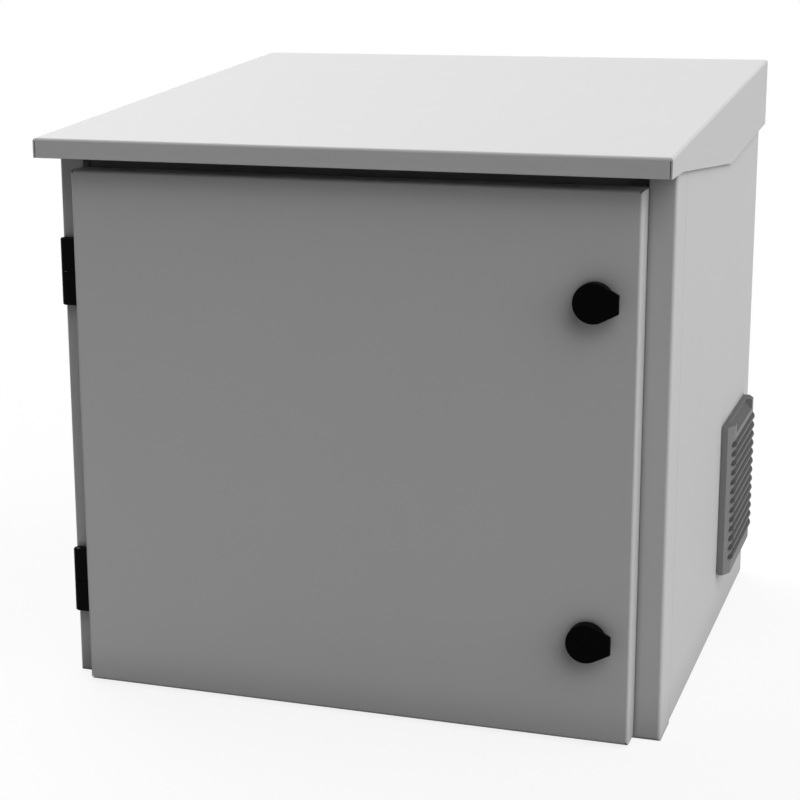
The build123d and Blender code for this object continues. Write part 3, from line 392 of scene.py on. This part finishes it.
@dataclass(frozen=True)
class SoftRubber:
    """Foam or sheet rubber: matt, with small open pores and a dusty bloom."""

    name: str
    colour: Colour
    roughness: float = 0.78
    pore_size: float = 0.8 * MM
    pore_depth: float = 0.05 * MM
    pore_sheen: float = 0.15
    bloom_size: float = 20.0 * MM
    bloom_gain: float = 1.5
    specular: float = 0.25

    def material(self) -> bpy.types.Material:
        """The finish as a material."""
        graph = ShaderGraph.of_material(self.name)
        pores = graph.noise(self.pore_size, roughness=0.7)
        bloom = graph.noise(self.bloom_size, detail=3.0)
        return graph.surface(
            Base_Color=graph.mix(bloom, self.colour, shade(self.colour, self.bloom_gain)),
            Roughness=self.roughness + self.pore_sheen * pores,
            Normal=graph.bump(pores, self.pore_depth),
            Specular_IOR_Level=self.specular,
        )


@dataclass(frozen=True)
class FibreMat:
    """Needled white fibre: two sizes of matted strands over a soft, light body."""

    name: str
    colour: Colour
    roughness: float = 0.95
    strand_size: float = 0.9 * MM
    strand_share: float = 0.7
    clump_size: float = 7.0 * MM
    depth: float = 0.4 * MM
    hollow_shade: float = 0.7
    specular: float = 0.1

    def material(self) -> bpy.types.Material:
        """The finish as a material."""
        graph = ShaderGraph.of_material(self.name)
        strands = graph.noise(self.strand_size, detail=4.0, roughness=0.75)
        clumps = graph.noise(self.clump_size)
        felt = (self.strand_share * strands + (1.0 - self.strand_share) * clumps).clamped()
        return graph.surface(
            Base_Color=graph.mix(felt, shade(self.colour, self.hollow_shade), self.colour),
            Roughness=self.roughness,
            Normal=graph.bump(felt, self.depth),
            Specular_IOR_Level=self.specular,
        )


class Finish(Enum):
    """The finishes of the cabinet, one for each material slot of the record."""

    CABINET_PAINT = PowderCoat("cabinet_paint", (0.60, 0.60, 0.60), 0.55)
    VENT_PLASTIC = LouvrePlastic("vent_plastic", (0.255, 0.255, 0.255), 0.6, specular=0.1)
    HINGE_BLACK = PowderCoat("hinge_black", (0.004, 0.004, 0.004), 0.5, 0.9 * MM, 0.02 * MM, specular=0.03)
    KNOB_PLASTIC = MouldedPlastic("knob_plastic", (0.002, 0.002, 0.002), 0.42, specular=0.02)
    FAN_PLASTIC = MouldedPlastic("fan_plastic", (0.015, 0.015, 0.016), 0.5)
    RUBBER = SoftRubber("rubber", (0.02, 0.02, 0.02))
    FILTER_FIBRE = FibreMat("filter_fibre", (0.75, 0.75, 0.72))
    LOCK_METAL = PowderCoat("lock_metal", (0.012, 0.012, 0.012), 0.45, 0.9 * MM, 0.02 * MM)
    ZINC_SHEET = ZincSheet("zinc_sheet", (0.58, 0.59, 0.60), 0.32)
    FASTENER_STEEL = ZincSheet("fastener_steel", (0.60, 0.60, 0.58), 0.26, 1.5 * MM, 0.05, 0.4 * MM)


@dataclass
class Assembly:
    """A group of pieces that belong together, and the finish of each."""

    title: str
    finishes: dict[str, Finish]

    def dress(self, materials: dict[Finish, bpy.types.Material]) -> None:
        """Gives each piece of the group its finish.

        Args:
            materials: the material of each finish.
        """
        for node, finish in self.finishes.items():
            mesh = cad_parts[node].data
            mesh.materials.clear()
            mesh.materials.append(materials[finish])
            LOG.info("%s: %s in %s", self.title, node, finish.value.name)


def assemblies() -> list[Assembly]:
    """The cabinet's groups, from the outside in.

    Returns:
        One assembly for each group of pieces.
    """
    sides = ("lower", "upper")
    paint, zinc, steel = Finish.CABINET_PAINT, Finish.ZINC_SHEET, Finish.FASTENER_STEEL
    hinges = {f"{side}_hinge_{half}_half": Finish.HINGE_BLACK for side in sides for half in ("frame", "door")}
    hinges |= {f"{side}_hinge_pin": steel for side in sides}
    hinges |= {"hinge_frame_screws": steel, "hinge_door_screws": steel}
    locks = {f"{side}_lock_knob": Finish.KNOB_PLASTIC for side in sides}
    locks |= {f"{side}_lock_housing": Finish.LOCK_METAL for side in sides}
    locks |= {f"{side}_lock_{piece}": steel for side in sides for piece in ("cam", "cam_screw")}
    locks |= {"lock_nuts": steel}
    rails = {f"{hand}_{side}_support_rail": zinc for hand in ("left", "right") for side in sides}
    rails |= {"left_rack_rail": zinc, "right_rack_rail": zinc, "rack_rail_screws": steel}
    return [
        Assembly("body", {"front_frame": paint, "body_shell": paint, "frame_rivets": steel}),
        Assembly("trays", {"floor_plate": zinc, "top_plate": zinc, "earth_stud": steel, "earth_nuts": steel}),
        Assembly(
            "roof",
            {
                "roof_canopy": paint,
                "roof_front_bracket": zinc,
                "roof_rear_bracket": zinc,
                "roof_bolts": steel,
                "roof_nuts": steel,
            },
        ),
        Assembly("door", {"door_panel": paint, "door_gasket": Finish.RUBBER, "door_stiffener": zinc}),
        Assembly("hinges", hinges),
        Assembly("locks", locks),
        Assembly("rails", rails),
        Assembly(
            "vent",
            {
                "vent_cover": Finish.VENT_PLASTIC,
                "vent_frame": Finish.VENT_PLASTIC,
                "filter_mat": Finish.FILTER_FIBRE,
                "fan_housing": Finish.FAN_PLASTIC,
                "fan_rotor": Finish.FAN_PLASTIC,
                "finger_guard": steel,
                "fan_screws": steel,
            },
        ),
        Assembly(
            "cable entry",
            {
                "gland_plate": zinc,
                "gland_plate_gasket": Finish.RUBBER,
                "gland_plate_screws": steel,
                "cable_grommets": Finish.RUBBER,
            },
        ),
    ]


@dataclass
class Camera:
    """The camera, where the photograph was taken from. Angles are in radians, lens and sensor in mm."""

    place: tuple[float, float, float] = (0.57623, -1.88911, 0.71131)
    yaw: float = 0.3157
    pitch: float = 0.2308
    roll: float = -0.0014
    lens: float = 84.41
    sensor: float = 36.0

    def build(self) -> None:
        """Makes the camera: yaw turns it from +Y to the left, pitch down, roll about its line of sight."""
        ahead = Vector(
            (
                -math.sin(self.yaw) * math.cos(self.pitch),
                math.cos(self.yaw) * math.cos(self.pitch),
                -math.sin(self.pitch),
            )
        )
        right = Vector((math.cos(self.yaw), math.sin(self.yaw), 0.0))
        up = right.cross(ahead)
        turned_right = math.cos(self.roll) * right + math.sin(self.roll) * up
        turned_up = math.cos(self.roll) * up - math.sin(self.roll) * right
        data = bpy.data.cameras.new("camera")
        data.lens = self.lens
        data.sensor_width = self.sensor
        data.dof.use_dof = False
        camera = bpy.data.objects.new("camera", data)
        turn = Matrix((turned_right, turned_up, -ahead)).transposed().to_4x4()
        camera.matrix_world = Matrix.Translation(self.place) @ turn
        bpy.context.scene.collection.objects.link(camera)
        bpy.context.scene.camera = camera
        LOG.info("camera: lens of %.1f mm", self.lens)


@dataclass(frozen=True)
class SkyPanel:
    """A soft bright patch of the studio's sky: its light falls off with a power of the angle's cosine."""

    name: str
    towards: tuple[float, float, float]
    sharpness: float
    strength: float

    def glow(self, graph: ShaderGraph) -> Value:
        """Brightness of the patch in each direction.

        Args:
            graph: the world's shader graph, whose place is the direction of view.

        Returns:
            The strength times the cosine to the patch's middle, raised to its sharpness.
        """
        LOG.info("sky: panel %s", self.name)
        middle = tuple(Vector(self.towards).normalized())
        inputs = {0: graph.place, 1: middle}
        cosine = graph.node("ShaderNodeVectorMath", {"operation": "DOT_PRODUCT"}, inputs).outputs["Value"]
        return self.strength * Value(graph, cosine).clamped().power(self.sharpness)


@dataclass
class Studio:
    """White floor and backdrop, and a sky of soft panels. Lengths are in metres."""

    panels: tuple[SkyPanel, ...] = (
        SkyPanel("upper right", (0.7, 0.0, 0.7), 6.0, 1.5),
        SkyPanel("right", (1.0, 0.0, 0.1), 6.0, 2.0),
        SkyPanel("right back", (0.7, 0.7, 0.1), 6.0, 0.6),
        SkyPanel("key", (0.35, -0.5, 0.8), 20.0, 2.8),
        SkyPanel("left back", (-0.6, 0.6, 0.5), 6.0, 4.6),
    )
    floor_half: float = 6.0
    shadow_near: float = 0.7
    shadow_far: float = 1.6
    shadow_share: float = 0.15
    floor_seen: float = 0.8
    floor_bounce: float = 0.13
    front_bounce: float = 0.33
    front_from: float = 0.25
    front_reach: float = 0.15
    under_edge: float = 0.002

    def shown(self, graph: ShaderGraph) -> Value:
        """One on the rays that show the backdrop to the eye, directly or in metal and glass, else zero."""
        rays = graph.node("ShaderNodeLightPath", {}, {}).outputs
        kinds = ("Is Camera Ray", "Is Glossy Ray", "Is Transmission Ray")
        camera, glossy, passed = (Value(graph, rays[kind]) for kind in kinds)
        return (camera + glossy + passed).clamped()

    def under(self, graph: ShaderGraph) -> Value:
        """One on the floor below the cabinet's floor plate, and zero outside it."""
        sides = []
        for axis, name in enumerate("XY"):
            low, high = extent("floor_plate", axis)
            place = graph.part(graph.place, name)
            sides += [(place - low) / self.under_edge, (high - place) / self.under_edge]
        left, right, front, back = (side.clamped() for side in sides)
        return left * right * front * back

    def world(self) -> None:
        """World that the camera sees as white, and whose panels light the object softly."""
        world = bpy.data.worlds.new("studio")
        graph = ShaderGraph.of_world(world)
        glow = self.panels[0].glow(graph)
        for panel in self.panels[1:]:
            glow = glow + panel.glow(graph)
        shown = self.shown(graph)
        strength = shown + (1.0 - shown) * glow
        graph.close(graph.node("ShaderNodeBackground", {}, {"Color": (*WHITE, 1.0), "Strength": strength}))
        bpy.context.scene.world = world

    def floor_material(self) -> bpy.types.Material:
        """Matt near the cabinet, where its shadow falls, and glowing white further out.

        Returns:
            The material. To the light it is a dim floor that is a little brighter just before the door.
        """
        graph = ShaderGraph.of_material("white_floor")
        length = graph.node("ShaderNodeVectorMath", {"operation": "LENGTH"}, {0: graph.place})
        reach = Value(graph, length.outputs["Value"])
        far = ((reach - self.shadow_near) / (self.shadow_far - self.shadow_near)).clamped()
        before = -graph.part(graph.place, "Y") - self.front_from
        front = (before / self.front_reach).clamped() * (1.0 - far)
        bounce = self.floor_bounce + (self.front_bounce - self.floor_bounce) * front
        shown = self.shown(graph)
        tint = self.floor_seen * shown + bounce * (1.0 - shown)
        white = (1.0 - self.shadow_share + self.shadow_share * far) * (1.0 - self.under(graph))
        matt = graph.node("ShaderNodeBsdfDiffuse", {}, {"Color": tint})
        glow = graph.node("ShaderNodeEmission", {}, {"Color": (*WHITE, 1.0), "Strength": 1.0})
        layers = {0: white * shown, 1: matt.outputs[0], 2: glow.outputs[0]}
        graph.close(graph.node("ShaderNodeMixShader", {}, layers))
        return graph.material

    def floor(self) -> None:
        """Level square floor under the cabinet."""
        half = self.floor_half
        corners = np.array([[-half, -half, 0.0], [half, -half, 0.0], [half, half, 0.0], [-half, half, 0.0]])
        mesh = bpy.data.meshes.new("floor")
        mesh.from_pydata(corners.tolist(), [], [(0, 1, 2, 3)])
        mesh.materials.append(self.floor_material())
        floor = bpy.data.objects.new("floor", mesh)
        bpy.context.scene.collection.objects.link(floor)
        LOG.info("studio: floor")

    def build(self) -> None:
        """Sets up the whole studio."""
        self.world()
        self.floor()
        bpy.context.scene.view_settings.view_transform = "Standard"


def main() -> None:
    """Dresses the cabinet, builds the studio and sets the camera."""
    logging.basicConfig(level=logging.INFO, format="%(name)s %(message)s")
    materials = {finish: finish.value.material() for finish in Finish}
    for assembly in assemblies():
        assembly.dress(materials)
    Studio().build()
    Camera().build()


if __name__ == "__main__":
    main()
